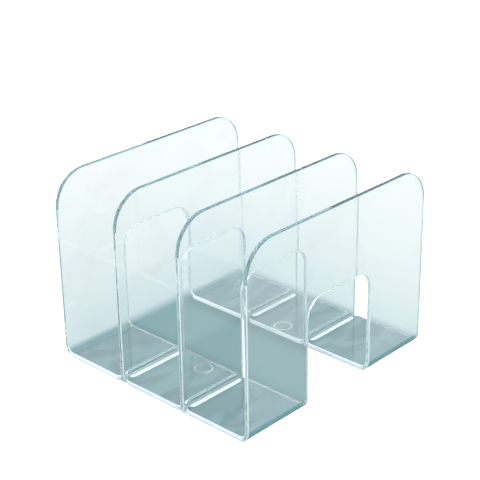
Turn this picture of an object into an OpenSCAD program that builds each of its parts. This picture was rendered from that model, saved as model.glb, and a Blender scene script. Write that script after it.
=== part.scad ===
// Clear desk rack with three open compartments for books and catalogues.
// Two end panels, each bent at the foot into a floor flange, carry two
// flat dividers and two centre floor plates, all cemented edge to edge.
// Units: mm. +X right, -Y front, +Z up.
// Origin: centre of the footprint, on the surface the rack stands on.

/* [Overall size] */
// Width over the outer faces of both end panels
rack_w = 213; // [150:1:320]
// Depth, from the front edges to the back edges
rack_d = 216; // [160:1:300]
// Height of every upright
rack_h = 165; // [120:1:260]

/* [Sheet] */
// Thickness of the uprights
panel_t = 3.5; // [2.5:0.1:5]
// Thickness of the floor
floor_t = 4; // [3:0.1:6]

/* [Panel outline] */
// Radius of the upper corners of each upright
top_r = 30; // [5:1:60]
// Width of the arch cut through every upright and of the gap in the floor
arch_w = 77; // [40:1:120]
// Height of the arch above the standing surface
arch_h = 95; // [40:1:120]
// Radius of the arch's upper corners
arch_r = 16; // [4:1:35]

/* [Bends] */
// Outer radius of the bend at the foot of each end panel
bend_r = 10; // [6:0.5:16]

/* [Cemented joints] */
// Radius in plan of the floor corners that meet a divider
plate_r = 6; // [2:0.5:10]
// Size of the cement bead along the foot of a divider
bead_r = 5; // [2:0.5:8]
// Thickness left at the toes of a cement bead
bead_toe = 0.4; // [0.2:0.1:1]

/* [Underside recesses] */
// Diameter of the round recess under each centre floor plate
recess_d = 16; // [8:1:24]
// Depth of that recess
recess_h = 1; // [0.4:0.1:2]
// Distance of each recess from the middle of the rack
recess_y = 50; // [44:1:90]

/* [Hidden] */
$fn = 96;
eps = 1;
// Clear width of each of the three equal compartments
bay_w = (rack_w - 4 * panel_t) / 3;
// Half widths, measured from the middle of the rack
half_w = rack_w / 2;
half_d = rack_d / 2;
half_arch = arch_w / 2;
// Inner and outer faces of the dividers
div_in = bay_w / 2;
div_out = div_in + panel_t;
// Depth of one floor strip, in front of or behind the arch
strip_d = half_d - half_arch;
bead_l = strip_d - 2 * plate_r;
clear_rgb = [0.86, 0.93, 0.94, 0.35];
bead_rgb = [0.95, 0.98, 0.98, 0.6];

// ---------- outlines ----------

// Upright seen from the side: width is the depth of the rack
module upright_outline() {
    translate([-half_d, 0]) square([rack_d, rack_h - top_r]);
    translate([-half_d + top_r, 0]) square([rack_d - 2 * top_r, rack_h]);
    for (s = [-1, 1])
        translate([s * (half_d - top_r), rack_h - top_r]) circle(r = top_r);
}

// Arch opening seen from the side, open at the bottom
module arch_outline() {
    translate([-half_arch, -eps]) square([arch_w, arch_h - arch_r + eps]);
    translate([-half_arch + arch_r, -eps]) square([arch_w - 2 * arch_r, arch_h + eps]);
    for (s = [-1, 1])
        translate([s * (half_arch - arch_r), arch_h - arch_r]) circle(r = arch_r);
}

// Stands a side outline up and gives it a thickness from x0 towards +X
module across(x0, t) {
    translate([x0, 0, 0])
        rotate([90, 0, 90])
            linear_extrude(height = t) children();
}

// End panel and floor flange seen from the front, for the left side
module bent_outline() {
    inner_r = bend_r - floor_t;
    difference() {
        union() {
            translate([-half_w, bend_r]) square([panel_t, rack_h - bend_r]);
            translate([-half_w + bend_r, 0]) square([half_w - bend_r - div_out, floor_t]);
            translate([-half_w + bend_r, bend_r]) circle(r = bend_r);
            translate([-half_w, bend_r]) square([bend_r, inner_r]);
            translate([-half_w + bend_r, 0]) square([inner_r, bend_r + inner_r]);
        }
        translate([-half_w + panel_t + inner_r, floor_t + inner_r]) circle(r = inner_r);
        translate([-half_w + panel_t, floor_t + inner_r]) square([rack_w, rack_h]);
        translate([-half_w + panel_t + inner_r, floor_t]) square([rack_w, rack_h]);
    }
}

// Sliver removed to round one floor corner in plan
module corner_cut(x, y, sx, sy) {
    translate([x, y, -eps])
        linear_extrude(height = floor_t + 2 * eps)
            difference() {
                translate([sx > 0 ? -eps : -plate_r, sy > 0 ? -eps : -plate_r])
                    square(plate_r + eps);
                translate([sx * plate_r, sy * plate_r]) circle(r = plate_r);
            }
}

// ---------- bent end panels ----------

module left_shape() {
    difference() {
        intersection() {
            rotate([90, 0, 0])
                translate([0, 0, -half_d])
                    linear_extrude(height = rack_d) bent_outline();
            across(-half_w - eps, rack_w) upright_outline();
        }
        across(-half_w - eps, rack_w) arch_outline();
        for (s = [-1, 1]) {
            corner_cut(-div_out, s * half_d, -1, -s);
            corner_cut(-div_out, s * half_arch, -1, s);
        }
    }
}

module left_side() {
    color(clear_rgb) left_shape();
}

module right_side() {
    color(clear_rgb) mirror([1, 0, 0]) left_shape();
}

// ---------- dividers ----------

module divider(x0) {
    across(x0, panel_t)
        difference() {
            upright_outline();
            arch_outline();
        }
}

module divider_left() {
    color(clear_rgb) divider(-div_out);
}

module divider_right() {
    color(clear_rgb) divider(div_in);
}

// ---------- centre floor plates ----------

module plate_shape() {
    difference() {
        linear_extrude(height = floor_t) {
            translate([-div_in, half_arch + plate_r])
                square([bay_w, strip_d - 2 * plate_r]);
            translate([-div_in + plate_r, half_arch])
                square([bay_w - 2 * plate_r, strip_d]);
            for (sx = [-1, 1], y = [half_arch + plate_r, half_d - plate_r])
                translate([sx * (div_in - plate_r), y]) circle(r = plate_r);
        }
        translate([0, recess_y, -eps]) cylinder(d = recess_d, h = recess_h + eps);
    }
}

module floor_plate_back() {
    color(clear_rgb) plate_shape();
}

module floor_plate_front() {
    color(clear_rgb) mirror([0, 1, 0]) plate_shape();
}

// ---------- cement beads along the divider feet ----------

// Bead with its square corner on the line x = 0, z = 0, growing towards side
module bead_outline(side) {
    difference() {
        translate([side > 0 ? 0 : -bead_r, 0]) square(bead_r);
        translate([side * (bead_r + bead_toe), bead_r + bead_toe]) circle(r = bead_r);
    }
}

// end is -1 for the front strip of floor and 1 for the back strip
module bead(x, side, end) {
    y_far = end > 0 ? half_d - plate_r : -half_arch - plate_r;
    color(bead_rgb)
        translate([x, y_far, floor_t])
            rotate([90, 0, 0])
                linear_extrude(height = bead_l) bead_outline(side);
}

module bead_1_front() { bead(-div_out, -1, -1); }
module bead_1_back() { bead(-div_out, -1, 1); }
module bead_2_front() { bead(-div_in, 1, -1); }
module bead_2_back() { bead(-div_in, 1, 1); }
module bead_3_front() { bead(div_in, -1, -1); }
module bead_3_back() { bead(div_in, -1, 1); }
module bead_4_front() { bead(div_out, 1, -1); }
module bead_4_back() { bead(div_out, 1, 1); }

left_side();
right_side();
divider_left();
divider_right();
floor_plate_front();
floor_plate_back();
bead_1_front();
bead_1_back();
bead_2_front();
bead_2_back();
bead_3_front();
bead_3_back();
bead_4_front();
bead_4_back();
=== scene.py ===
"""Looks of a clear desk rack with three open bays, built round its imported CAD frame.

The rack is laid out as a maker would cut it. Two end panels are bent from one
sheet each, two flat dividers and two centre floor plates stand between them,
and a bead of clear cement runs along each side of both dividers' feet.
Lengths are metres. +X is right, -Y is front, +Z is up.
"""

import math

import bmesh
import bpy
from bpy.props import (
    FloatProperty,
    FloatVectorProperty,
    IntProperty,
    PointerProperty,
)
from mathutils import Matrix, Vector


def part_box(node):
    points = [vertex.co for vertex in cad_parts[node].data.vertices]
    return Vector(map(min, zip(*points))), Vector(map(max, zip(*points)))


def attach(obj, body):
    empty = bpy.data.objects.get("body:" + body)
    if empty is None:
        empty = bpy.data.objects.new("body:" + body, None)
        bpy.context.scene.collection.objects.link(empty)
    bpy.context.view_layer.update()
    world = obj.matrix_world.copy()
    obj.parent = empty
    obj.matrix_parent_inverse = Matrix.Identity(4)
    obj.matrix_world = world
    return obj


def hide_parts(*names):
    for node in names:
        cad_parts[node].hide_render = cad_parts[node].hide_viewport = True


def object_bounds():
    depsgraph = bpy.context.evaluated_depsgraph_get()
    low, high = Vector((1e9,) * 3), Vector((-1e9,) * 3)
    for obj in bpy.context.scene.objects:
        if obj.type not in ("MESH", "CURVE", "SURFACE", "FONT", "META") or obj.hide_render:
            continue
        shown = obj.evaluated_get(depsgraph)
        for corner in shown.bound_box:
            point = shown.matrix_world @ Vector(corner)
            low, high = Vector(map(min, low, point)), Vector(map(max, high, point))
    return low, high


bl_info = {
    "name": "Clear Desk Rack",
    "version": (1, 0, 0),
    "blender": (4, 5, 0),
    "location": "View3D > Sidebar > Desk Rack",
    "description": "Builds the sheets, cement beads and studio of a clear desk rack",
    "category": "Object",
}

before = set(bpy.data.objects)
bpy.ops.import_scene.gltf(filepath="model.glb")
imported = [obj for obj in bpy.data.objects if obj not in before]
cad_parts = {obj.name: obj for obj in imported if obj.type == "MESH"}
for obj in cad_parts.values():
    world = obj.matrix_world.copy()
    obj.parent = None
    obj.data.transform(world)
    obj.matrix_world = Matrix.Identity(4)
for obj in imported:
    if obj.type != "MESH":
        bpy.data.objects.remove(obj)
CAD_LOW, CAD_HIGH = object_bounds()
ENDS = ("front", "back")

# Material slots of a sheet
FACE, EDGE, TOP_EDGE, FLOOR_EDGE, ARRIS, TREAD = range(6)

# Heights up to which edges have the floor's finish, and from which the top's
FLOOR_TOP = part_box("floor_plate_back")[1].z
FLOOR_FINISH_TO = FLOOR_TOP + 0.001
TOP_FINISH_FROM = CAD_HIGH.z * 0.8

# How far an edge or its arris turns to the back to be polished clear; those facing the front keep
# a whitish finish as a painted highlight
EDGE_FACES_BACK = 0.5
ARRIS_FACES_BACK = 0.3

# Half the width of the gap between the front and back floor strips
ARCH_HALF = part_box("floor_plate_back")[0].y

CUT_EDGE_ANGLE = math.radians(40)
CREASE_ANGLE = math.radians(50)

# Largest share of the recess's depth that the edge rounding takes
RECESS_ROUND = 0.45

# Cement: size at the ends of a bead and how much it stays under full size, where
# the rim with the painted highlight starts along the hollow, how far out and how far from the
# ends the air lies, and the smallest bubble against the largest
END_SIZE = 0.39
SPARE = 0.01
DRIFT_SCALE = 140.0
TOE_FROM = 0.55
AIR_MIDDLE = 0.22
AIR_INSET = 0.004
SMALLEST_AIR = 0.35

# Clear plastic
PLASTIC_IOR = 1.49
SCRATCH_ROUGHNESS = 0.25
SCRATCH_STRENGTH = 0.15
SCRATCH_DEPTH = 0.0001
SHADOW_PASS = 0.85

# Floor: its size, and the painted shade that it glows with for the rays the plastic passes on,
# which is darker in a contact band beside each strip and clears far from the rack
FLOOR_RADIUS = 5.0
FLOOR_DROP = 0.0003
SHADE_BLEND = 0.003
CONTACT_REACH = 0.018
CONTACT_SHADE = 0.72
FAR_FLOOR_GLOW = (1.0, 1.03, 1.03)

# Studio: where the sky changes, as the sine of the elevation, what the camera
# sees of it, the key lamp, and bounces enough to cross every sheet
WALL_TOP, BAND_FROM, BAND_TO, CEILING_FROM = 0.10, 0.20, 0.36, 0.45
BACKDROP = (0.94, 0.95, 0.95)
KEY_WIDTH, KEY_DEPTH = 2.4, 1.8
KEY_PLACE = (-0.6, -1.2, 1.9)
KEY_AIM = (0.0, 0.0, 0.05)
BOUNCES = 96


# ---------------------------------------------------------------- settings


class RackSheetSettings(bpy.types.PropertyGroup):
    """Sizes of the cut and bent sheets that the frame's boxes don't give."""

    top_radius: FloatProperty(
        name="Top Corner",
        description="Radius of the upper corners of every upright",
        default=0.030,
        unit="LENGTH",
    )
    arch_width: FloatProperty(
        name="Arch Width",
        description="Width of the arch cut through every upright",
        default=0.077,
        unit="LENGTH",
    )
    arch_height: FloatProperty(
        name="Arch Height",
        description="Height of the arch's crown above the desk",
        default=0.095,
        unit="LENGTH",
    )
    arch_radius: FloatProperty(
        name="Arch Corner",
        description="Radius of the arch's upper corners",
        default=0.016,
        unit="LENGTH",
    )
    bend_radius: FloatProperty(
        name="Bend",
        description="Outer radius of the bend at the foot of an end panel",
        default=0.010,
        unit="LENGTH",
    )
    floor_corner: FloatProperty(
        name="Floor Corner",
        description="Radius in plan of the floor corners beside a divider",
        default=0.006,
        unit="LENGTH",
    )
    edge_round: FloatProperty(
        name="Edge Rounding",
        description="Radius polished onto every cut edge",
        default=0.0007,
        unit="LENGTH",
    )
    joint_gap: FloatProperty(
        name="Joint Gap",
        description="Film left between two sheets that meet",
        default=0.00003,
        unit="LENGTH",
    )
    recess_width: FloatProperty(
        name="Recess Width",
        description="Diameter of the round recess under a centre floor plate",
        default=0.016,
        unit="LENGTH",
    )
    recess_depth: FloatProperty(
        name="Recess Depth",
        description="Depth of that recess",
        default=0.001,
        unit="LENGTH",
    )
    # The matt ring and recess wall are a painted highlight, a bright ring in place of light
    # reflected in the recess
    recess_highlight_ring: FloatProperty(
        name="Recess Ring",
        description="Width of the matt ring round the roof of the recess",
        default=0.0011,
        unit="LENGTH",
    )
    recess_place: FloatProperty(
        name="Recess Place",
        description="Distance of a recess from the middle of the rack",
        default=0.050,
        unit="LENGTH",
    )
    arc_steps: IntProperty(
        name="Arc Steps",
        description="Straight steps in a quarter turn",
        default=20,
    )


class RackJointSettings(bpy.types.PropertyGroup):
    """Sizes of the cement beads and of the air caught in them."""

    bead_size: FloatProperty(
        name="Bead Size",
        description="Height and reach of a bead",
        default=0.005,
        unit="LENGTH",
    )
    bead_toe: FloatProperty(
        name="Toe",
        description="Thickness left at the two toes of a bead",
        default=0.0004,
        unit="LENGTH",
    )
    wobble: FloatProperty(
        name="Wobble",
        description="How far the bead's face wanders as the cement was run in",
        default=0.00015,
        unit="LENGTH",
    )
    bubble_spacing: FloatProperty(
        name="Bubble Spacing",
        description="Distance between air bubbles along a bead",
        default=0.0045,
        unit="LENGTH",
    )
    bubble_size: FloatProperty(
        name="Bubble Size",
        description="Radius of the largest air bubble",
        default=0.00022,
        unit="LENGTH",
    )
    seed: IntProperty(
        name="Seed",
        description="Fixes where the bubbles lie",
        default=7,
    )


class RackFinishSettings(bpy.types.PropertyGroup):
    """Colours of the clear plastic and of its cut edges."""

    tint: FloatVectorProperty(
        name="Tint",
        description="Colour that a face of the clear sheet passes",
        default=(0.985, 0.995, 0.997),
        subtype="COLOR",
    )
    depth_colour: FloatVectorProperty(
        name="Depth Colour",
        description="Colour the sheet takes where light runs far inside it",
        default=(0.42, 0.72, 0.76),
        subtype="COLOR",
    )
    depth_strength: FloatProperty(
        name="Depth Strength",
        description="How soon that colour shows, per metre of plastic",
        default=5.0,
    )
    edge_colour: FloatVectorProperty(
        name="Edge Colour",
        description="Colour of the fine-ground cut edges",
        default=(0.90, 0.97, 0.98),
        subtype="COLOR",
    )
    wear: FloatProperty(
        name="Wear",
        description="Strength of the hairline scratches",
        default=0.5,
        min=0.0,
        max=1.0,
        subtype="FACTOR",
    )


class RackStageSettings(bpy.types.PropertyGroup):
    """The floor, the light and the camera."""

    floor_colour: FloatVectorProperty(
        name="Floor",
        description="Colour of the pale floor",
        default=(0.96, 0.96, 0.96),
        subtype="COLOR",
    )
    # Painted shade that the floor glows with in the gap between the strips
    painted_gap_shade: FloatVectorProperty(
        name="Gap Floor",
        description="Colour of the shaded floor in the gap between the strips",
        default=(0.198, 0.362, 0.388),
        subtype="COLOR",
    )
    # Painted shade that the floor glows with under the rack
    painted_under_shade: FloatVectorProperty(
        name="Under",
        description="Colour of the floor under the rack, as the plastic shows it",
        default=(0.09, 0.265, 0.30),
        subtype="COLOR",
    )
    # Painted shade that the floor glows with just beside the rack
    painted_beside_shade: FloatVectorProperty(
        name="Beside",
        description="Colour of the floor just beside the rack, as the plastic shows it",
        default=(0.66, 0.81, 0.83),
        subtype="COLOR",
    )
    beside_reach: FloatProperty(
        name="Beside Reach",
        description="Distance from the footprint over which the first shade clears",
        default=0.018,
        unit="LENGTH",
    )
    shade_reach: FloatProperty(
        name="Shade Reach",
        description="Distance from the footprint where a third of the shade is left",
        default=0.165,
        unit="LENGTH",
    )
    sky_colour: FloatVectorProperty(
        name="Studio",
        description="Colour of the studio all round",
        default=(1.0, 1.0, 1.0),
        subtype="COLOR",
    )
    band_colour: FloatVectorProperty(
        name="Dark Band",
        description="Colour of the studio between its walls and its bright ceiling",
        default=(0.54, 0.60, 0.62),
        subtype="COLOR",
    )
    sky_strength: FloatProperty(
        name="Studio Strength",
        description="Brightness of the studio all round",
        default=1.25,
    )
    key_power: FloatProperty(
        name="Key Power",
        description="Power of the soft key lamp",
        default=55.0,
        unit="POWER",
    )
    camera_place: FloatVectorProperty(
        name="Camera",
        description="Where the camera stands",
        default=(0.6989, -0.7385, 0.5634),
        subtype="TRANSLATION",
    )
    camera_heading: FloatProperty(
        name="Heading",
        description="Turn of the camera from +Y towards -X",
        default=math.radians(43.48),
        subtype="ANGLE",
    )
    camera_tilt: FloatProperty(
        name="Tilt",
        description="How far the camera looks down",
        default=math.radians(24.38),
        subtype="ANGLE",
    )
    camera_roll: FloatProperty(
        name="Roll",
        description="Turn of the camera about its own line of sight",
        default=math.radians(-0.91),
        subtype="ANGLE",
    )
    camera_lens: FloatProperty(
        name="Lens",
        description="Focal length in millimetres on a 36 mm wide sensor",
        default=100.86,
    )


# ---------------------------------------------------------------- outlines


def arc(centre_a, centre_b, radius, start, stop, steps):
    """Points of an arc from start to stop in degrees, both ends included."""
    points = []
    for i in range(steps + 1):
        turn = math.radians(start + (stop - start) * i / steps)
        points.append(
            (centre_a + radius * math.cos(turn), centre_b + radius * math.sin(turn))
        )
    return points


def upright_crown(sizes):
    """Outline (y, z) over the top of an upright, from its front edge to its back."""
    half = CAD_HIGH.y
    top = CAD_HIGH.z
    r = sizes.top_radius
    front = arc(-half + r, top - r, r, 180, 90, sizes.arc_steps)
    back = arc(half - r, top - r, r, 90, 0, sizes.arc_steps)
    return front + back


def arch_crown(sizes):
    """Outline (y, z) under the arch, from its back leg to its front leg."""
    half = sizes.arch_width / 2
    r = sizes.arch_radius
    level = sizes.arch_height - r
    back = arc(half - r, level, r, 0, 90, sizes.arc_steps)
    front = arc(-half + r, level, r, 90, 180, sizes.arc_steps)
    return back + front


# ---------------------------------------------------------------- meshes


def polish_back_edges(bm):
    """Gives the floor's edges that face the back the clear edge finish; the frosted ones left at
    the front carry a painted highlight.
    """
    for face in bm.faces:
        if face.material_index == FLOOR_EDGE and face.normal.y > EDGE_FACES_BACK:
            face.material_index = EDGE


def closed_mesh(name, bm):
    """Turns the faces of bm outwards, finishes its back edges and keeps it."""
    bmesh.ops.recalc_face_normals(bm, faces=bm.faces[:])
    polish_back_edges(bm)
    mesh = bpy.data.meshes.new(name)
    bm.to_mesh(mesh)
    bm.free()
    return mesh


def sheet_mesh(name, near, far, faces, treads=()):
    """Closes two matching layers of points into a sheet with a rim.

    near and far list the same outline, point for point, on the two sides of
    the sheet. faces list the point numbers that make up one side, and treads
    name those of them that books stand on.
    """
    bm = bmesh.new()
    low = [bm.verts.new(p) for p in near]
    high = [bm.verts.new(p) for p in far]
    for row, numbers in enumerate(faces):
        bm.faces.new([low[i] for i in numbers])
        upper = bm.faces.new([high[i] for i in reversed(numbers)])
        upper.material_index = TREAD if row in treads else FACE
    count = len(near)
    for i in range(count):
        j = (i + 1) % count
        rim = bm.faces.new([low[j], low[i], high[i], high[j]])
        heights = [corner.co.z for corner in rim.verts]
        if max(heights) < FLOOR_FINISH_TO:
            rim.material_index = FLOOR_EDGE
        else:
            at_top = min(heights) > TOP_FINISH_FROM
            rim.material_index = TOP_EDGE if at_top else EDGE
    return closed_mesh(name, bm)


def add_piece(name, mesh, materials):
    """Puts a mesh in the scene as an object at the origin."""
    piece = bpy.data.objects.new(name, mesh)
    bpy.context.scene.collection.objects.link(piece)
    for material in materials:
        mesh.materials.append(material)
    return piece


def freeze(piece):
    """Turns a piece's modifiers into plain mesh and removes them."""
    graph = bpy.context.evaluated_depsgraph_get()
    mesh = bpy.data.meshes.new_from_object(
        piece.evaluated_get(graph),
        preserve_all_data_layers=True,
        depsgraph=graph,
    )
    old = piece.data
    piece.modifiers.clear()
    piece.data = mesh
    bpy.data.meshes.remove(old)
    mesh.name = piece.name


def polish_edges(piece, radius):
    """Rounds every cut edge and keeps the flat faces optically flat."""
    piece.data.shade_smooth()
    rounding = piece.modifiers.new("Rounding", "BEVEL")
    rounding.width = radius
    rounding.segments = 3
    rounding.limit_method = "ANGLE"
    rounding.angle_limit = CUT_EDGE_ANGLE
    rounding.material = ARRIS
    flat = piece.modifiers.new("Flat Faces", "WEIGHTED_NORMAL")
    flat.mode = "FACE_AREA"
    flat.weight = 100
    bpy.context.view_layer.update()
    freeze(piece)
    # The whitish arris finish is a painted highlight; it is cleared at the top and on floor
    # arrises facing the back
    for face in piece.data.polygons:
        if face.material_index == ARRIS:
            at_back = face.center.z < FLOOR_TOP and face.normal.y > ARRIS_FACES_BACK
            if at_back or face.center.z > TOP_FINISH_FROM:
                face.material_index = TOP_EDGE


def end_panel_mesh(name, side, sizes):
    """One end panel and its floor flanges, bent from a single sheet."""
    low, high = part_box("left_side")
    divider_low, divider_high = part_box("divider_left")
    thick = divider_high.x - divider_low.x
    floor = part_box("floor_plate_front")[1].z
    outer_x = low.x
    end_x = high.x - sizes.joint_gap
    half_y = high.y
    half_arch = sizes.arch_width / 2
    bend = sizes.bend_radius
    inner = bend - floor
    corner = sizes.floor_corner
    steps = sizes.arc_steps
    near = []
    far = []

    def put(a, b):
        near.append((side * -a[0], a[1], a[2]))
        far.append((side * -b[0], b[1], b[2]))
        return len(near) - 1

    def put_upright(y, z):
        return put((outer_x, y, z), (outer_x + thick, y, z))

    def put_bend(y, row):
        turn = math.radians(180 + 90 * row / steps)
        c = math.cos(turn)
        s = math.sin(turn)
        outside = (outer_x + bend + bend * c, y, bend + bend * s)
        inside = (outer_x + thick + inner + inner * c, y, floor + inner + inner * s)
        return put(outside, inside)

    def put_floor(x, y):
        return put((x, y, 0.0), (x, y, floor))

    def bend_rows(y, rows):
        return [put_bend(y, row) for row in rows]

    def flange(y_back, y_front):
        x = end_x - corner
        points = arc(x, y_back - corner, corner, 90, 0, steps // 2)
        points += arc(x, y_front + corner, corner, 0, -90, steps // 2)
        return [put_floor(a, b) for a, b in points]

    down = range(0, steps + 1)
    up = range(steps, -1, -1)
    crown = [put_upright(y, z) for y, z in upright_crown(sizes)]
    back_outside = bend_rows(half_y, down)
    back_flange = flange(half_y, half_arch)
    back_inside = bend_rows(half_arch, up)
    arch = [put_upright(y, z) for y, z in arch_crown(sizes)]
    front_inside = bend_rows(-half_arch, down)
    front_flange = flange(-half_arch, -half_y)
    front_outside = bend_rows(-half_y, up)
    upright = crown + back_outside[:1] + back_inside[-1:]
    upright += arch + front_inside[:1] + front_outside[-1:]
    faces = [
        upright,
        [back_outside[-1]] + back_flange + [back_inside[0]],
        [front_inside[-1]] + front_flange + [front_outside[0]],
    ]
    for one, other in ((back_outside, back_inside), (front_inside, front_outside)):
        for row in range(steps):
            faces.append([one[row], one[row + 1], other[-2 - row], other[-1 - row]])
    return sheet_mesh(name, near, far, faces, (1, 2))


def divider_mesh(name, node, sizes):
    """A flat upright with an arch, standing where its CAD node stands."""
    low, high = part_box(node)
    half_y = high.y
    half_arch = sizes.arch_width / 2
    outline = upright_crown(sizes)
    outline += [(half_y, 0.0), (half_arch, 0.0)]
    outline += arch_crown(sizes)
    outline += [(-half_arch, 0.0), (-half_y, 0.0)]
    near = [(low.x, y, z) for y, z in outline]
    far = [(high.x, y, z) for y, z in outline]
    return sheet_mesh(name, near, far, [list(range(len(outline)))])


def floor_plate_mesh(name, node, sizes):
    """A centre floor plate with rounded corners and a round recess under it."""
    low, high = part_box(node)
    steps = sizes.arc_steps // 2
    r = sizes.floor_corner
    x1 = high.x - sizes.joint_gap
    x0 = -x1
    side = 1 if high.y > 0 else -1
    hole_y = side * sizes.recess_place
    hole_r = sizes.recess_width / 2
    turns = 4 * sizes.arc_steps
    bm = bmesh.new()

    def layer(points, z):
        return [bm.verts.new((x, y, z)) for x, y in points]

    def circle(radius, z):
        return layer(arc(0, hole_y, radius, 0, 360, turns)[:-1], z)

    def matt_band(one, other):
        for i in range(turns):
            j = (i + 1) % turns
            face = bm.faces.new([one[j], one[i], other[i], other[j]])
            face.material_index = FLOOR_EDGE

    right = arc(x1 - r, low.y + r, r, -90, 0, steps)
    right += [(x1, hole_y)]
    right += arc(x1 - r, high.y - r, r, 0, 90, steps)
    left = arc(x0 + r, high.y - r, r, 90, 180, steps)
    left += [(x0, hole_y)]
    left += arc(x0 + r, low.y + r, r, 180, 270, steps)
    outline = right + left
    top = layer(outline, high.z)
    bottom = layer(outline, low.z)
    count = len(outline)
    bm.faces.new(top).material_index = TREAD
    for i in range(count):
        j = (i + 1) % count
        rim = bm.faces.new([bottom[i], bottom[j], top[j], top[i]])
        rim.material_index = FLOOR_EDGE
    roof_z = low.z + sizes.recess_depth
    mouth = circle(hole_r, low.z)
    roof = circle(hole_r, roof_z)
    inner = circle(hole_r - sizes.recess_highlight_ring, roof_z)
    # Painted highlight: the recess wall and roof ring take the whitish frosted edge finish
    matt_band(mouth, roof)
    matt_band(roof, inner)
    bm.faces.new(inner)
    middle_right = len(right) // 2
    middle_left = len(right) + len(left) // 2
    half_turn = turns // 2
    behind = bottom[middle_right : middle_left + 1]
    behind += [mouth[i] for i in range(half_turn, -1, -1)]
    ahead = bottom[middle_left:] + bottom[: middle_right + 1]
    ahead += [mouth[i % turns] for i in range(turns, half_turn - 1, -1)]
    bm.faces.new(behind)
    bm.faces.new(ahead)
    return closed_mesh(name, bm)


# ---------------------------------------------------------------- node helpers


def feed(tree, socket, value):
    """Links an output to a socket, or sets the socket to a plain value."""
    if isinstance(value, bpy.types.NodeSocket):
        tree.links.new(value, socket)
    else:
        socket.default_value = value


def add_node(tree, kind, **values):
    """A node and its inputs, whose names are given with _ for a space."""
    node = tree.nodes.new(kind)
    for label, value in values.items():
        feed(tree, node.inputs[label.replace("_", " ")], value)
    return node


def maths(tree, operation, *values):
    """The output of a Math node fed with numbers or sockets."""
    node = tree.nodes.new("ShaderNodeMath")
    node.operation = operation
    for socket, value in zip(node.inputs, values):
        feed(tree, socket, value)
    return node.outputs[0]


def vector_maths(tree, operation, *values):
    """The vector output of a Vector Math node fed with vectors or sockets."""
    node = tree.nodes.new("ShaderNodeVectorMath")
    node.operation = operation
    for socket, value in zip(node.inputs, values):
        feed(tree, socket, value)
    return node.outputs[0]


def scaled(tree, vector, factor):
    """A vector or colour multiplied by a factor socket."""
    node = tree.nodes.new("ShaderNodeVectorMath")
    node.operation = "SCALE"
    feed(tree, node.inputs[0], vector)
    feed(tree, node.inputs["Scale"], factor)
    return node.outputs[0]


def ranged(tree, value, low, high, to_low, to_high):
    """A smooth Map Range node."""
    node = tree.nodes.new("ShaderNodeMapRange")
    node.interpolation_type = "SMOOTHSTEP"
    numbers = (value, low, high, to_low, to_high)
    labels = ("Value", "From Min", "From Max", "To Min", "To Max")
    for label, number in zip(labels, numbers):
        feed(tree, node.inputs[label], number)
    return node.outputs["Result"]


def mixed_colour(tree, factor, first, second):
    """Mixes two colours, each a socket or three numbers, by a factor socket."""
    node = tree.nodes.new("ShaderNodeMix")
    node.data_type = "RGBA"
    feed(tree, node.inputs[0], factor)
    for place, colour in ((6, first), (7, second)):
        if not isinstance(colour, bpy.types.NodeSocket):
            colour = (*colour, 1.0)
        feed(tree, node.inputs[place], colour)
    return node.outputs[2]


def mix_shaders(tree, factor, first, second):
    """Sets a material's surface to a mix of two shaders by a factor socket."""
    pick = tree.nodes.new("ShaderNodeMixShader")
    for socket, source in zip(pick.inputs, (factor, first.outputs[0], second.outputs[0])):
        tree.links.new(source, socket)
    tree.links.new(pick.outputs[0], tree.nodes["Material Output"].inputs["Surface"])


def new_tree(name, kind, inputs, outputs):
    """An empty node group with its sockets, and its two end nodes."""
    tree = bpy.data.node_groups.new(name, kind)
    for label, socket_type, value in inputs:
        socket = tree.interface.new_socket(label, in_out="INPUT", socket_type=socket_type)
        if value is not None:
            socket.default_value = value
    for label, socket_type in outputs:
        tree.interface.new_socket(label, in_out="OUTPUT", socket_type=socket_type)
    start = tree.nodes.new("NodeGroupInput")
    end = tree.nodes.new("NodeGroupOutput")
    return tree, start, end


# ---------------------------------------------------------------- cement beads


BEAD_SOCKETS = (
    ("Outline", "NodeSocketGeometry", None),
    ("Start", "NodeSocketVector", None),
    ("End", "NodeSocketVector", None),
    ("Rows", "NodeSocketInt", 64),
    ("Run Out", "NodeSocketFloat", 0.05),
    ("Wobble", "NodeSocketFloat", 0.0001),
    ("Air Start", "NodeSocketVector", None),
    ("Air End", "NodeSocketVector", None),
    ("Air Spread", "NodeSocketVector", None),
    ("Air Count", "NodeSocketInt", 12),
    ("Air Size", "NodeSocketFloat", 0.0002),
    ("Seed", "NodeSocketInt", 0),
    ("Cement", "NodeSocketMaterial", None),
    ("Toe", "NodeSocketMaterial", None),
    ("Bond", "NodeSocketMaterial", None),
)


def named_mask(tree, name):
    """Reads a number stored on the outline's points."""
    node = tree.nodes.new("GeometryNodeInputNamedAttribute")
    node.data_type = "FLOAT"
    node.inputs["Name"].default_value = name
    return node.outputs["Attribute"]


def bead_fullness(tree, run_out):
    """Size of the bead along its run, which thins towards both ends."""
    along = tree.nodes.new("GeometryNodeSplineParameter").outputs["Factor"]
    other = maths(tree, "SUBTRACT", 1.0, along)
    nearest_end = maths(tree, "MINIMUM", along, other)
    share = maths(tree, "DIVIDE", nearest_end, run_out)
    share = maths(tree, "MINIMUM", share, 1.0)
    share = maths(tree, "SQRT", maths(tree, "ADD", share, 0.02))
    return maths(tree, "MULTIPLY_ADD", share, 1.0 - END_SIZE - SPARE, END_SIZE)


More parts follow.
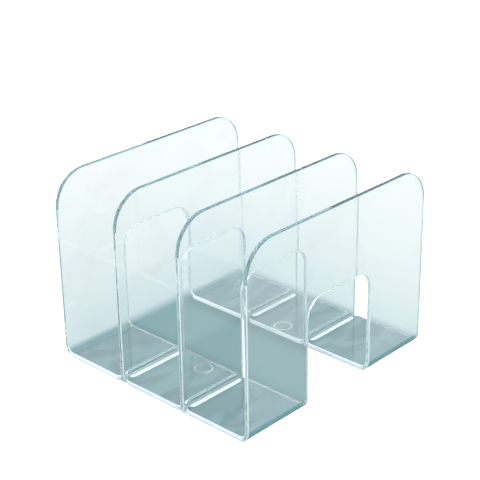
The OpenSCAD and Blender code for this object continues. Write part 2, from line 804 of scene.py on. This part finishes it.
def bead_body(tree, given):
    """The outline run along a straight path from Start to End."""
    path = add_node(
        tree, "GeometryNodeCurvePrimitiveLine", Start=given["Start"], End=given["End"]
    )
    rows = add_node(tree, "GeometryNodeResampleCurve", Curve=path.outputs[0], Count=given["Rows"])
    upright = add_node(tree, "GeometryNodeSetCurveNormal", Curve=rows.outputs[0])
    upright.mode = "Z_UP"
    ring = add_node(tree, "GeometryNodeMeshToCurve", Mesh=given["Outline"])
    body = add_node(
        tree,
        "GeometryNodeCurveToMesh",
        Curve=upright.outputs[0],
        Profile_Curve=ring.outputs[0],
        Scale=bead_fullness(tree, given["Run Out"]),
        Fill_Caps=True,
    )
    return body.outputs["Mesh"]


def bead_wander(tree, given, body):
    """Draws the bead's open face a little way in towards its corner."""
    position = tree.nodes.new("GeometryNodeInputPosition").outputs[0]
    drift = add_node(tree, "ShaderNodeTexNoise", Vector=position, Scale=DRIFT_SCALE, Detail=1.0)
    across = (1.0, 0.0, 1.0)
    corner = vector_maths(tree, "MULTIPLY", given["Start"], across)
    place = vector_maths(tree, "MULTIPLY", position, across)
    away = vector_maths(tree, "SUBTRACT", corner, place)
    inward = vector_maths(tree, "NORMALIZE", away)
    step = maths(tree, "MULTIPLY", drift.outputs["Fac"], given["Wobble"])
    step = maths(tree, "MULTIPLY", step, named_mask(tree, "free"))
    moved = add_node(
        tree, "GeometryNodeSetPosition", Geometry=body, Offset=scaled(tree, inward, step)
    )
    return moved.outputs[0]


def bead_air(tree, given):
    """Air bubbles caught along the heart of the bead."""
    core = add_node(
        tree,
        "GeometryNodeCurvePrimitiveLine",
        Start=given["Air Start"],
        End=given["Air End"],
    )
    places = add_node(
        tree,
        "GeometryNodeCurveToPoints",
        Curve=core.outputs[0],
        Count=given["Air Count"],
    )
    aside = tree.nodes.new("FunctionNodeRandomValue")
    aside.data_type = "FLOAT_VECTOR"
    aside.inputs[0].default_value = (-1.0, -1.0, -1.0)
    feed(tree, aside.inputs["Seed"], given["Seed"])
    scatter = add_node(
        tree,
        "GeometryNodeSetPosition",
        Geometry=places.outputs["Points"],
        Offset=vector_maths(tree, "MULTIPLY", aside.outputs[0], given["Air Spread"]),
    )
    ball = add_node(tree, "GeometryNodeMeshIcoSphere", Subdivisions=2, Radius=given["Air Size"])
    share = tree.nodes.new("FunctionNodeRandomValue")
    share.data_type = "FLOAT"
    share.inputs[2].default_value = SMALLEST_AIR
    share.inputs[3].default_value = 1.0
    feed(tree, share.inputs["Seed"], maths(tree, "ADD", given["Seed"], 1.0))
    air = add_node(
        tree,
        "GeometryNodeInstanceOnPoints",
        Points=scatter.outputs[0],
        Instance=ball.outputs["Mesh"],
        Scale=share.outputs[1],
    )
    return air.outputs[0]


def set_finish(tree, geometry, material, mask=None):
    """Sets a material, only on the faces that the mask marks if there is one."""
    node = add_node(tree, "GeometryNodeSetMaterial", Geometry=geometry, Material=material)
    if mask:
        marked = tree.nodes.new("FunctionNodeCompare")
        marked.operation = "GREATER_THAN"
        feed(tree, marked.inputs[0], named_mask(tree, mask))
        marked.inputs[1].default_value = 0.9
        feed(tree, node.inputs["Selection"], marked.outputs[0])
    return node.outputs[0]


def bead_tree():
    """Geometry nodes that run an outline along a divider's foot as cement.

    The outline comes in as a ring of edges in X and Y. Its "free" points are
    the open face of the bead, which wanders a little, its "toe" points are the
    thin rims that carry a painted highlight, and its "bond" points lie on the sheets.
    """
    found = bpy.data.node_groups.get("Cement Bead")
    if found:
        return found
    tree, start, end = new_tree(
        "Cement Bead",
        "GeometryNodeTree",
        BEAD_SOCKETS,
        [("Bead", "NodeSocketGeometry")],
    )
    given = start.outputs
    body = bead_wander(tree, given, bead_body(tree, given))
    air = bead_air(tree, given)
    both = tree.nodes.new("GeometryNodeJoinGeometry")
    tree.links.new(body, both.inputs[0])
    tree.links.new(air, both.inputs[0])
    real = add_node(tree, "GeometryNodeRealizeInstances", Geometry=both.outputs[0])
    bead = set_finish(tree, real.outputs[0], given["Cement"])
    bead = set_finish(tree, bead, given["Toe"], "toe")
    bead = set_finish(tree, bead, given["Bond"], "bond")
    tree.links.new(bead, end.inputs[0])
    return tree


def set_inputs(modifier, tree, values):
    """Sets a node modifier's inputs by their sockets' identifiers."""
    for item in tree.interface.items_tree:
        if item.item_type == "SOCKET" and item.in_out == "INPUT":
            if item.name in values:
                modifier[item.identifier] = values[item.name]


def bead_outline_mesh(name, grows, joint, gap):
    """Outline of a bead as a ring of edges, its square corner at the origin."""
    size = joint.bead_size
    toe = joint.bead_toe
    steps = 12
    centre = size + toe
    # Each point is X, height, and whether it is free, carries the painted highlight and lies on a
    # sheet
    points = [(gap, gap, 0.0, 0.0, 1.0), (gap, size, 0.0, 1.0, 1.0)]
    for i, (a, b) in enumerate(arc(centre, centre, -size, 0, 90, steps)):
        free = 1.0 if 0 < i < steps else 0.0
        toe_highlight = 1.0 if i == 0 or i >= steps * TOE_FROM else 0.0
        points.append((min(a, size), min(b, size), free, toe_highlight, 0.0))
    points.append((size, gap, 0.0, 1.0, 1.0))
    mesh = bpy.data.meshes.new(name)
    places = [(grows * point[0], -point[1], 0.0) for point in points]
    count = len(places)
    ring = [(i, (i + 1) % count) for i in range(count)]
    mesh.from_pydata(places, ring, [])
    for label, column in (("free", 2), ("toe", 3), ("bond", 4)):
        layer = mesh.attributes.new(label, "FLOAT", "POINT")
        layer.data.foreach_set("value", [point[column] for point in points])
    return mesh


def close_up(piece):
    """Merges doubles, turns faces outwards and keeps the sharp creases."""
    mesh = piece.data
    bm = bmesh.new()
    bm.from_mesh(mesh)
    bmesh.ops.remove_doubles(bm, verts=bm.verts[:], dist=1e-7)
    bmesh.ops.recalc_face_normals(bm, faces=bm.faces[:])
    bm.to_mesh(mesh)
    bm.free()
    mesh.shade_smooth()
    mesh.set_sharp_from_angle(angle=CREASE_ANGLE)


def drop_empty_slots(mesh):
    """Removes the material slots that hold nothing."""
    for slot in reversed(range(len(mesh.materials))):
        if mesh.materials[slot] is None:
            mesh.materials.pop(index=slot)


def run_bead(name, node, grows, joint, gap, materials):
    """Runs one bead along its CAD node and returns it as a plain mesh."""
    low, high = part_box(node)
    corner_x = low.x if grows > 0 else high.x
    mesh = bead_outline_mesh(name, grows, joint, gap)
    piece = add_piece(name, mesh, materials[:1])
    tree = bead_tree()
    modifier = piece.modifiers.new("Cement", "NODES")
    modifier.node_group = tree
    middle = joint.bead_size * AIR_MIDDLE
    core_x = corner_x + grows * middle
    core_z = low.z + middle
    values = {
        "Start": (corner_x, low.y, low.z),
        "End": (corner_x, high.y, low.z),
        "Wobble": joint.wobble,
        "Air Start": (core_x, low.y + AIR_INSET, core_z),
        "Air End": (core_x, high.y - AIR_INSET, core_z),
        "Air Spread": (middle * 0.5, AIR_INSET * 0.5, middle * 0.5),
        "Air Count": int((high.y - low.y) / joint.bubble_spacing),
        "Air Size": joint.bubble_size,
        "Seed": joint.seed + int(1000 * (corner_x + low.y + 1.0)),
        "Cement": materials[0],
        "Toe": materials[1],
        "Bond": materials[2],
    }
    set_inputs(modifier, tree, values)
    bpy.context.view_layer.update()
    freeze(piece)
    drop_empty_slots(piece.data)
    close_up(piece)
    return piece


# ---------------------------------------------------------------- shader groups


def hairline_group():
    """Hairline scratches in three directions, as a height and a mask."""
    line_width = 0.012
    patch_from, patch_to = 0.50, 0.68
    found = bpy.data.node_groups.get("Hairline Scratches")
    if found:
        return found
    tree, start, end = new_tree(
        "Hairline Scratches",
        "ShaderNodeTree",
        [("Vector", "NodeSocketVector", None), ("Amount", "NodeSocketFloat", 0.5)],
        [("Height", "NodeSocketFloat"), ("Mask", "NodeSocketFloat")],
    )
    vector = start.outputs["Vector"]
    lines = []
    for turn, stretch in ((0.35, 5.0), (-0.9, 7.0), (1.35, 6.0)):
        place = add_node(
            tree,
            "ShaderNodeMapping",
            Vector=vector,
            Rotation=(turn, turn * 0.4, turn * 0.7),
            Scale=(160.0, stretch, 160.0),
        )
        drawn = place.outputs["Vector"]
        cells = add_node(tree, "ShaderNodeTexNoise", Vector=drawn, Scale=3.0, Detail=1.0)
        away = maths(tree, "SUBTRACT", cells.outputs["Fac"], 0.5)
        away = maths(tree, "ABSOLUTE", away)
        lines.append(ranged(tree, away, 0.0, line_width, 1.0, 0.0))
    patches = add_node(tree, "ShaderNodeTexNoise", Vector=vector, Scale=22.0)
    where = ranged(tree, patches.outputs["Fac"], patch_from, patch_to, 0.0, 1.0)
    mask = maths(tree, "MAXIMUM", lines[0], lines[1])
    mask = maths(tree, "MAXIMUM", mask, lines[2])
    mask = maths(tree, "MULTIPLY", mask, where)
    mask = maths(tree, "MULTIPLY", mask, start.outputs["Amount"])
    tree.links.new(mask, end.inputs["Mask"])
    tree.links.new(maths(tree, "MULTIPLY", mask, -1.0), end.inputs["Height"])
    return tree


def handling_group():
    """Finger smears and settled dust, as roughness and shade, and cloudy streaks of painted
    reflection that darken the colour.
    """
    dust_share = 0.6
    dulling = 0.035
    found = bpy.data.node_groups.get("Handling Marks And Painted Reflections")
    if found:
        return found
    tree, start, end = new_tree(
        "Handling Marks And Painted Reflections",
        "ShaderNodeTree",
        [
            ("Vector", "NodeSocketVector", None),
            ("Smear Scale", "NodeSocketFloat", 18.0),
            ("Dust Scale", "NodeSocketFloat", 900.0),
            ("Base", "NodeSocketFloat", 0.02),
            ("Spread", "NodeSocketFloat", 0.06),
            ("Cloud", "NodeSocketFloat", 0.0),
        ],
        [("Roughness", "NodeSocketFloat"), ("Shade", "NodeSocketFloat")],
    )
    given = start.outputs
    vector = given["Vector"]
    smear = add_node(
        tree,
        "ShaderNodeTexNoise",
        Vector=vector,
        Scale=given["Smear Scale"],
        Detail=4.0,
        Distortion=1.2,
    )
    smears = ranged(tree, smear.outputs["Fac"], 0.48, 0.75, 0.0, 1.0)
    dust = add_node(tree, "ShaderNodeTexVoronoi", Vector=vector, Scale=given["Dust Scale"])
    specks = ranged(tree, dust.outputs["Distance"], 0.05, 0.16, 1.0, 0.0)
    marks = maths(tree, "ADD", smears, maths(tree, "MULTIPLY", specks, dust_share))
    rough = maths(tree, "MULTIPLY", marks, given["Spread"])
    rough = maths(tree, "ADD", rough, given["Base"])
    tree.links.new(rough, end.inputs["Roughness"])
    clean = maths(tree, "SUBTRACT", 1.0, maths(tree, "MULTIPLY", marks, dulling))
    # Painted reflection: cloudy streaks that darken the colour
    drawn = add_node(
        tree,
        "ShaderNodeMapping",
        Vector=vector,
        Rotation=(0.0, 0.0, 0.45),
        Scale=(48.0, 20.0, 20.0),
    )
    clouds = add_node(
        tree,
        "ShaderNodeTexNoise",
        Vector=drawn.outputs["Vector"],
        Scale=1.0,
        Detail=2.0,
        Distortion=0.8,
    )
    streak_shade = ranged(tree, clouds.outputs["Fac"], 0.36, 0.62, 0.0, 1.0)
    streak_shade = maths(tree, "MULTIPLY", streak_shade, given["Cloud"])
    shade = maths(tree, "MULTIPLY", clean, maths(tree, "SUBTRACT", 1.0, streak_shade))
    tree.links.new(shade, end.inputs["Shade"])
    return tree


# ---------------------------------------------------------------- materials


def place_group(tree, group, vector, **values):
    """Places a shader group fed with object coordinates."""
    node = tree.nodes.new("ShaderNodeGroup")
    node.node_tree = group
    for label, value in values.items():
        feed(tree, node.inputs[label], value)
    feed(tree, node.inputs["Vector"], vector)
    return node


def clear_plastic(
    name, finish, colour, transmission, base, spread, wear, depth=True, painted_streaks=0.0
):
    """Clear plastic with handling marks, hairlines, a colour in its depth and, where asked,
    painted reflection streaks.
    """
    found = bpy.data.materials.get(name)
    if found:
        return found
    material = bpy.data.materials.new(name)
    material.use_nodes = True
    tree = material.node_tree
    shader = tree.nodes["Principled BSDF"]
    vector = tree.nodes.new("ShaderNodeTexCoord").outputs["Object"]
    marks = place_group(tree, handling_group(), vector, Base=base, Spread=spread, Cloud=painted_streaks)
    lines = place_group(tree, hairline_group(), vector, Amount=wear)
    shaded = scaled(tree, colour, marks.outputs["Shade"])
    tree.links.new(shaded, shader.inputs["Base Color"])
    rough = maths(tree, "MULTIPLY", lines.outputs["Mask"], SCRATCH_ROUGHNESS)
    rough = maths(tree, "ADD", marks.outputs["Roughness"], rough)
    tree.links.new(rough, shader.inputs["Roughness"])
    bump = add_node(
        tree,
        "ShaderNodeBump",
        Strength=SCRATCH_STRENGTH,
        Distance=SCRATCH_DEPTH,
        Height=lines.outputs["Height"],
    )
    tree.links.new(bump.outputs["Normal"], shader.inputs["Normal"])
    shader.inputs["Metallic"].default_value = 0.0
    shader.inputs["Transmission Weight"].default_value = transmission
    shader.inputs["IOR"].default_value = PLASTIC_IOR
    passing = add_node(tree, "ShaderNodeBsdfTransparent", Color=(*colour, 1.0))
    path = tree.nodes.new("ShaderNodeLightPath")
    share = maths(tree, "MULTIPLY", path.outputs["Is Shadow Ray"], SHADOW_PASS)
    mix_shaders(tree, share, shader, passing)
    if depth:
        body = add_node(
            tree,
            "ShaderNodeVolumeAbsorption",
            Color=(*finish.depth_colour, 1.0),
            Density=finish.depth_strength,
        )
        out = tree.nodes["Material Output"]
        tree.links.new(body.outputs["Volume"], out.inputs["Volume"])
    return material


def sheet_materials(finish):
    """Finishes of a sheet, in the order of its material slots.

    Each row gives the colour, the light it passes, its least roughness, how much
    marks add to that, and the strength of its hairlines.
    """
    tint = finish.tint
    edge = finish.edge_colour
    wear = finish.wear
    return [
        clear_plastic("clear_face", finish, tint, 1.0, 0.0, 0.05, wear),
        clear_plastic("polished_edge", finish, edge, 0.9, 0.01, 0.06, 0.3),
        clear_plastic("polished_top", finish, tint, 1.0, 0.0, 0.04, 0.3),
        # Frosted cut edges: a ground finish whose whiteness on the front-facing floor edges is
        # also a painted highlight
        clear_plastic("sawn_edge_and_highlight", finish, edge, 0.35, 0.18, 0.15, 0.3),
        # Whitish arrises: a painted highlight in place of glints on the polished rounding
        clear_plastic("arris_painted_highlight", finish, edge, 0.35, 0.10, 0.10, 0.0),
        # The treads' scuffs are roughness and hairlines; their cloudy streaks are painted
        # reflection
        clear_plastic("scuffed_tread_with_painted_reflections", finish, tint, 1.0, 0.02, 0.12, 1.0, painted_streaks=0.30),
    ]


def cement_materials(finish):
    """Cured clear cement, its thin rims made whiter as a painted highlight, and the bond that
    melts in.
    """
    edge = finish.edge_colour
    bond = clear_plastic("cement_bond", finish, edge, 1.0, 0.02, 0.0, 0.0, depth=False)
    bond.node_tree.nodes["Principled BSDF"].inputs["Alpha"].default_value = 0.0
    return [
        clear_plastic("clear_cement", finish, edge, 1.0, 0.02, 0.08, 0.0, depth=False),
        clear_plastic("cement_toe_painted_highlight", finish, edge, 0.3, 0.15, 0.1, 0.0, depth=False),
        bond,
    ]


# ---------------------------------------------------------------- operators


class RACK_OT_end_panels(bpy.types.Operator):
    """Build the two bent end panels"""

    bl_idname = "rack.end_panels"
    bl_label = "End Panels"

    def execute(self, context):
        sizes = context.scene.rack_sheets
        materials = sheet_materials(context.scene.rack_finish)
        for node, side in (("left_side", -1), ("right_side", 1)):
            name = node.replace("side", "end_panel")
            mesh = end_panel_mesh(name, side, sizes)
            piece = add_piece(name, mesh, materials)
            polish_edges(piece, sizes.edge_round)
            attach(piece, "root")
            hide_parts(node)
        return {"FINISHED"}


class RACK_OT_dividers(bpy.types.Operator):
    """Build the two flat dividers"""

    bl_idname = "rack.dividers"
    bl_label = "Dividers"

    def execute(self, context):
        sizes = context.scene.rack_sheets
        materials = sheet_materials(context.scene.rack_finish)
        for node in ("divider_left", "divider_right"):
            name = node + "_sheet"
            piece = add_piece(name, divider_mesh(name, node, sizes), materials)
            polish_edges(piece, sizes.edge_round)
            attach(piece, "root")
            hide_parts(node)
        return {"FINISHED"}


class RACK_OT_floor_plates(bpy.types.Operator):
    """Build the two centre floor plates"""

    bl_idname = "rack.floor_plates"
    bl_label = "Centre Floor Plates"

    def execute(self, context):
        sizes = context.scene.rack_sheets
        materials = sheet_materials(context.scene.rack_finish)
        rounding = min(sizes.edge_round, sizes.recess_depth * RECESS_ROUND)
        for end in ENDS:
            node = "floor_plate_" + end
            name = node + "_sheet"
            piece = add_piece(name, floor_plate_mesh(name, node, sizes), materials)
            polish_edges(piece, rounding)
            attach(piece, "root")
            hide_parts(node)
        return {"FINISHED"}


class RACK_OT_cement_beads(bpy.types.Operator):
    """Run the eight cement beads along the dividers' feet"""

    bl_idname = "rack.cement_beads"
    bl_label = "Cement Beads"

    def execute(self, context):
        joint = context.scene.rack_joints
        gap = context.scene.rack_sheets.joint_gap
        materials = cement_materials(context.scene.rack_finish)
        for number, grows in ((1, -1), (2, 1), (3, -1), (4, 1)):
            for end in ENDS:
                node = f"bead_{number}_{end}"
                name = f"cement_{number}_{end}"
                piece = run_bead(name, node, grows, joint, gap, materials)
                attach(piece, "root")
                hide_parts(node)
        return {"FINISHED"}


# ---------------------------------------------------------------- stage


def distance_outside(tree, position, half_x, half_y):
    """How far a place on the floor lies outside the rack's footprint."""
    size = vector_maths(tree, "ABSOLUTE", position)
    over = vector_maths(tree, "SUBTRACT", size, (half_x, half_y, 0.0))
    past = vector_maths(tree, "MAXIMUM", over, (0.0, 0.0, 0.0))
    length = tree.nodes.new("ShaderNodeVectorMath")
    length.operation = "LENGTH"
    tree.links.new(past, length.inputs[0])
    return length.outputs["Value"]


def painted_floor_shade(tree, stage):
    """Painted shade of the floor round the rack, as the plastic passes it on; the floor glows
    with it.
    """
    position = tree.nodes.new("ShaderNodeTexCoord").outputs["Object"]
    away = distance_outside(tree, position, CAD_HIGH.x, CAD_HIGH.y)
    share = maths(tree, "DIVIDE", away, stage.shade_reach)
    left = maths(tree, "EXPONENT", maths(tree, "MULTIPLY", share, -1.0))
    place = tree.nodes.new("ShaderNodeSeparateXYZ")
    tree.links.new(position, place.inputs[0])
    depth = maths(tree, "ABSOLUTE", place.outputs["Y"])
    strip_edge = ARCH_HALF + SHADE_BLEND
    # Painted contact shade: a darker band in the gap beside each strip
    before = ranged(tree, depth, ARCH_HALF - CONTACT_REACH, ARCH_HALF, 0.0, 1.0)
    behind = ranged(tree, depth, ARCH_HALF, strip_edge, 1.0, 0.0)
    painted_contact = maths(tree, "MULTIPLY", before, behind)
    dark = tuple(CONTACT_SHADE * value for value in stage.painted_gap_shade)
    gap = mixed_colour(tree, painted_contact, stage.painted_gap_shade, dark)
    strip = ranged(tree, depth, ARCH_HALF, strip_edge, 0.0, 1.0)
    under = mixed_colour(tree, strip, gap, stage.painted_under_shade)
    near = ranged(tree, away, -2 * SHADE_BLEND, stage.beside_reach, 0.0, 1.0)
    beside = mixed_colour(tree, near, under, stage.painted_beside_shade)
    return mixed_colour(tree, left, FAR_FLOOR_GLOW, beside)


def floor_material(stage):
    """Pale floor. All rays but the camera's own meet it glowing with the rack's painted shade."""
    material = bpy.data.materials.new("pale_floor")
    material.use_nodes = True
    tree = material.node_tree
    shader = tree.nodes["Principled BSDF"]
    shader.inputs["Base Color"].default_value = (*stage.floor_colour, 1.0)
    shader.inputs["Roughness"].default_value = 0.9
    shader.inputs["Specular IOR Level"].default_value = 0.0
    glow = add_node(tree, "ShaderNodeEmission", Color=painted_floor_shade(tree, stage))
    seen = tree.nodes.new("ShaderNodeLightPath").outputs["Is Camera Ray"]
    mix_shaders(tree, seen, glow, shader)
    return material


def floor_mesh():
    """A wide round floor, just under the rack."""
    bm = bmesh.new()
    bmesh.ops.create_circle(bm, cap_ends=True, radius=FLOOR_RADIUS, segments=96)
    bmesh.ops.translate(bm, verts=bm.verts[:], vec=(0.0, 0.0, -FLOOR_DROP))
    mesh = bpy.data.meshes.new("studio_floor")
    bm.to_mesh(mesh)
    bm.free()
    return mesh


def hang_sky(scene, stage):
    """Bright walls, a darker band above them and a wide bright ceiling.

    The camera itself sees one plain white all round.
    """
    sky = bpy.data.worlds.new("soft_studio")
    sky.use_nodes = True
    tree = sky.node_tree
    background = tree.nodes["Background"]
    direction = tree.nodes.new("ShaderNodeTexCoord").outputs["Generated"]
    split = tree.nodes.new("ShaderNodeSeparateXYZ")
    tree.links.new(direction, split.inputs[0])
    ramp = tree.nodes.new("ShaderNodeValToRGB")
    ramp.color_ramp.interpolation = "EASE"
    stops = ramp.color_ramp.elements
    for stop, height in zip(stops, (WALL_TOP, CEILING_FROM)):
        stop.position = height
        stop.color = (*stage.sky_colour, 1.0)
    for height in (BAND_FROM, BAND_TO):
        stops.new(height).color = (*stage.band_colour, 1.0)
    tree.links.new(split.outputs["Z"], ramp.inputs[0])
    seen = tree.nodes.new("ShaderNodeLightPath").outputs["Is Camera Ray"]
    colour = mixed_colour(tree, seen, ramp.outputs[0], BACKDROP)
    tree.links.new(colour, background.inputs["Color"])
    background.inputs["Strength"].default_value = stage.sky_strength
    scene.world = sky


def hang_key(scene, stage):
    """One wide soft lamp, high in front of the rack and to its left."""
    lamp = bpy.data.lights.new("key_softbox", "AREA")
    lamp.shape = "RECTANGLE"
    lamp.size = KEY_WIDTH
    lamp.size_y = KEY_DEPTH
    lamp.energy = stage.key_power
    key = bpy.data.objects.new("key_softbox", lamp)
    scene.collection.objects.link(key)
    place = Vector(KEY_PLACE)
    aim = Vector(KEY_AIM) - place
    turn = aim.to_track_quat("-Z", "Y").to_matrix().to_4x4()
    key.matrix_world = Matrix.Translation(place) @ turn


def set_camera(scene, stage):
    """The camera, from its place, heading, tilt and roll."""
    lens = bpy.data.cameras.new("studio_camera")
    lens.sensor_width = 36.0
    lens.lens = stage.camera_lens
    lens.clip_start = 0.01
    camera = bpy.data.objects.new("studio_camera", lens)
    scene.collection.objects.link(camera)
    yaw = stage.camera_heading
    pitch = -stage.camera_tilt
    flat = math.cos(pitch)
    ahead = Vector((-math.sin(yaw) * flat, math.cos(yaw) * flat, math.sin(pitch)))
    level = Vector((math.cos(yaw), math.sin(yaw), 0.0))
    upward = level.cross(ahead)
    c = math.cos(stage.camera_roll)
    s = math.sin(stage.camera_roll)
    right = c * level + s * upward
    up = c * upward - s * level
    turn = Matrix((right, up, -ahead)).transposed().to_4x4()
    camera.matrix_world = Matrix.Translation(Vector(stage.camera_place)) @ turn
    scene.camera = camera


class RACK_OT_stage(bpy.types.Operator):
    """Lay the pale floor, hang the soft light and set up the camera"""

    bl_idname = "rack.stage"
    bl_label = "Studio"

    def execute(self, context):
        scene = context.scene
        stage = scene.rack_stage
        floor = add_piece("studio_floor", floor_mesh(), [floor_material(stage)])
        hang_sky(scene, stage)
        hang_key(scene, stage)
        set_camera(scene, stage)
        scene.view_settings.view_transform = "Standard"
        scene.cycles.max_bounces = BOUNCES
        scene.cycles.transmission_bounces = BOUNCES
        scene.cycles.glossy_bounces = BOUNCES
        return {"FINISHED"}


class RACK_PT_panel(bpy.types.Panel):
    """Lists the rack's building steps and settings"""

    bl_idname = "RACK_PT_panel"
    bl_label = "Clear Desk Rack"
    bl_space_type = "VIEW_3D"
    bl_region_type = "UI"
    bl_category = "Desk Rack"

    def draw(self, context):
        scene = context.scene
        groups = (
            (scene.rack_sheets, ("end_panels", "dividers", "floor_plates")),
            (scene.rack_joints, ("cement_beads",)),
            (scene.rack_finish, ()),
            (scene.rack_stage, ("stage",)),
        )
        for settings, steps in groups:
            box = self.layout.box()
            for label in settings.__annotations__:
                box.prop(settings, label)
            for step in steps:
                box.operator("rack." + step)


CLASSES = (
    RackSheetSettings,
    RackJointSettings,
    RackFinishSettings,
    RackStageSettings,
    RACK_OT_end_panels,
    RACK_OT_dividers,
    RACK_OT_floor_plates,
    RACK_OT_cement_beads,
    RACK_OT_stage,
    RACK_PT_panel,
)


def register():
    for item in CLASSES:
        bpy.utils.register_class(item)
    bpy.types.Scene.rack_sheets = PointerProperty(type=RackSheetSettings)
    bpy.types.Scene.rack_joints = PointerProperty(type=RackJointSettings)
    bpy.types.Scene.rack_finish = PointerProperty(type=RackFinishSettings)
    bpy.types.Scene.rack_stage = PointerProperty(type=RackStageSettings)


def unregister():
    del bpy.types.Scene.rack_stage
    del bpy.types.Scene.rack_finish
    del bpy.types.Scene.rack_joints
    del bpy.types.Scene.rack_sheets
    for item in reversed(CLASSES):
        bpy.utils.unregister_class(item)


def main():
    register()
    bpy.ops.rack.end_panels()
    bpy.ops.rack.dividers()
    bpy.ops.rack.floor_plates()
    bpy.ops.rack.cement_beads()
    bpy.ops.rack.stage()


if __name__ == "__main__":
    main()
